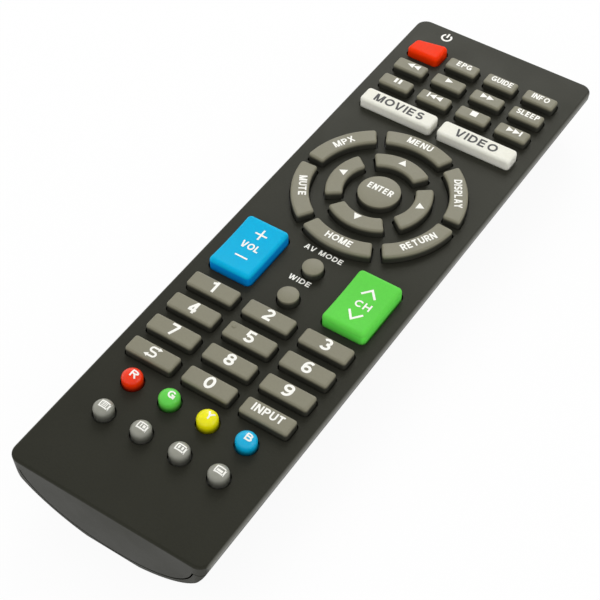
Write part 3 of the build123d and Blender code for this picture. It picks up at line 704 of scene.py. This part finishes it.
def area_lamp(name, place, size, power, mirrored=True):
    """A soft square lamp turned to the remote; one that isn't mirrored adds no glare."""
    data = bpy.data.lights.new(name, "AREA")
    data.size = size
    data.energy = power
    lamp = bpy.data.objects.new(name, data)
    lamp.location = place
    lamp.visible_glossy = mirrored
    lamp.rotation_euler = (Vector(LAMP_AIM) - Vector(place)).to_track_quat("-Z", "Y").to_euler()
    bpy.context.scene.collection.objects.link(lamp)


def rays(tree, *kinds):
    """One where a ray of one of these kinds looks, and zero elsewhere."""
    path = add_node(tree, "ShaderNodeLightPath")
    either = path.outputs[kinds[0]]
    for kind in kinds[1:]:
        both = add_node(tree, "ShaderNodeMath", links={0: either, 1: path.outputs[kind]}, operation="MAXIMUM")
        either = both.outputs["Value"]
    return either


class RemoteStageSet(Operator):
    """Set the floor, the lamps, the sky and the camera"""

    bl_idname = "remote.stage_set"
    bl_label = "Stage"

    def execute(self, context):
        stage = settings()[2]
        scene = bpy.context.scene
        scene.view_settings.view_transform = "Standard"

        made = bmesh.new()
        bmesh.ops.create_circle(made, cap_ends=True, segments=64, radius=FLOOR_RADIUS)
        data = bpy.data.meshes.new("table_top")
        made.to_mesh(data)
        made.free()
        floor = bpy.data.objects.new("table_top", data)
        floor.location.z = -FLOOR_GAP
        scene.collection.objects.link(floor)
        # White laminate, matt: mostly plain white where it is looked at, with a soft shadow left in it
        material, tree, output = new_material("white_table")
        matt = add_node(tree, "ShaderNodeBsdfDiffuse", {"Color": (*stage.floor, 1)})
        white = add_node(tree, "ShaderNodeEmission", {"Color": (1, 1, 1, 1), "Strength": 1.0})
        looked_at = rays(tree, "Is Camera Ray", "Is Glossy Ray", "Is Transmission Ray")
        share = add_node(tree, "ShaderNodeMath", {1: PLAIN_WHITE}, {0: looked_at}, operation="MULTIPLY")
        both = add_node(tree, "ShaderNodeMixShader", links={0: share.outputs["Value"], 1: matt.outputs["BSDF"],
                                                           2: white.outputs["Emission"]})
        # From below it is clear, so that the back of the remote can be looked at
        clear = add_node(tree, "ShaderNodeBsdfTransparent")
        face = add_node(tree, "ShaderNodeNewGeometry")
        sided = add_node(tree, "ShaderNodeMixShader", links={0: face.outputs["Backfacing"], 1: both.outputs["Shader"],
                                                            2: clear.outputs["BSDF"]})
        tree.links.new(sided.outputs["Shader"], output.inputs["Surface"])
        data.materials.append(material)

        world = bpy.data.worlds.new("white_room")
        scene.world = world
        world.use_nodes = True
        tree = world.node_tree
        tree.nodes.clear()
        # A white cove: looked at it is plain white, and what the object mirrors fades from white at the foot of the
        # walls to a dimmer ceiling
        output = add_node(tree, "ShaderNodeOutputWorld")
        way = add_node(tree, "ShaderNodeTexCoord")
        height = add_node(tree, "ShaderNodeSeparateXYZ", links={0: way.outputs["Generated"]})
        cove = add_node(tree, "ShaderNodeMapRange", {"From Min": 0.45, "From Max": 0.85, "To Min": 1.0, "To Max": 0.75},
                        {"Value": height.outputs["Z"]})
        mirrored = add_node(tree, "ShaderNodeMix", {"A": stage.sky}, {
            "Factor": rays(tree, "Is Glossy Ray"), "B": cove.outputs["Result"]})
        seen = add_node(tree, "ShaderNodeMix", {"B": 1.0}, {
            "Factor": rays(tree, "Is Camera Ray", "Is Transmission Ray"), "A": mirrored.outputs["Result"]})
        room = add_node(tree, "ShaderNodeBackground", {"Color": (1, 1, 1, 1)}, {"Strength": seen.outputs["Result"]})
        tree.links.new(room.outputs["Background"], output.inputs["Surface"])

        area_lamp("overhead_lamp", (-0.30, 0.32, 0.95), 0.7, stage.overhead, mirrored=False)
        area_lamp("far_lamp", (-0.35, 0.80, 0.60), 0.5, stage.far)
        area_lamp("side_lamp", (0.8, 0.1, 0.35), 0.5, stage.side)
        area_lamp("front_lamp", (0.10, -0.70, 0.45), 0.8, stage.front, mirrored=False)

        camera = bpy.data.objects.new("camera", bpy.data.cameras.new("camera"))
        camera.data.lens = CAMERA_LENS
        camera.data.clip_start = 0.01
        camera.location = CAMERA_PLACE
        camera.rotation_euler = (Vector(CAMERA_AIM) - camera.location).to_track_quat("-Z", "Y").to_euler()
        scene.collection.objects.link(camera)
        scene.camera = camera
        return {"FINISHED"}


STEPS = (RemoteStageSet, RemoteCaseFinish, RemoteKeyFinish, RemoteInsideFinish, RemoteGridLegends, RemoteRingLegends,
         RemoteNumberLegends, RemoteRockerLegends, RemoteDomeLegends)


class RemotePanel(Panel):
    """The remote's steps and settings"""

    bl_idname = "VIEW3D_PT_remote"
    bl_label = "Remote"
    bl_space_type = "VIEW_3D"
    bl_region_type = "UI"
    bl_category = "Remote"

    def draw(self, context):
        for step in STEPS:
            self.layout.operator(step.bl_idname)
        for group in (context.scene.remote_colours, context.scene.remote_print, context.scene.remote_stage):
            box = self.layout.box()
            for name in group.__annotations__:
                box.prop(group, name)


GROUPS = (("remote_colours", RemoteColours), ("remote_print", RemotePrint), ("remote_stage", RemoteStage))


def register():
    for name, group in GROUPS:
        bpy.utils.register_class(group)
        setattr(bpy.types.Scene, name, PointerProperty(type=group))
    for kind in (*STEPS, RemotePanel):
        bpy.utils.register_class(kind)


def unregister():
    for kind in (RemotePanel, *reversed(STEPS)):
        bpy.utils.unregister_class(kind)
    for name, group in reversed(GROUPS):
        delattr(bpy.types.Scene, name)
        bpy.utils.unregister_class(group)


def main():
    """Runs every step."""
    register()
    for step in STEPS:
        family, action = step.bl_idname.split(".")
        getattr(getattr(bpy.ops, family), action)()


if __name__ == "__main__":
    main()
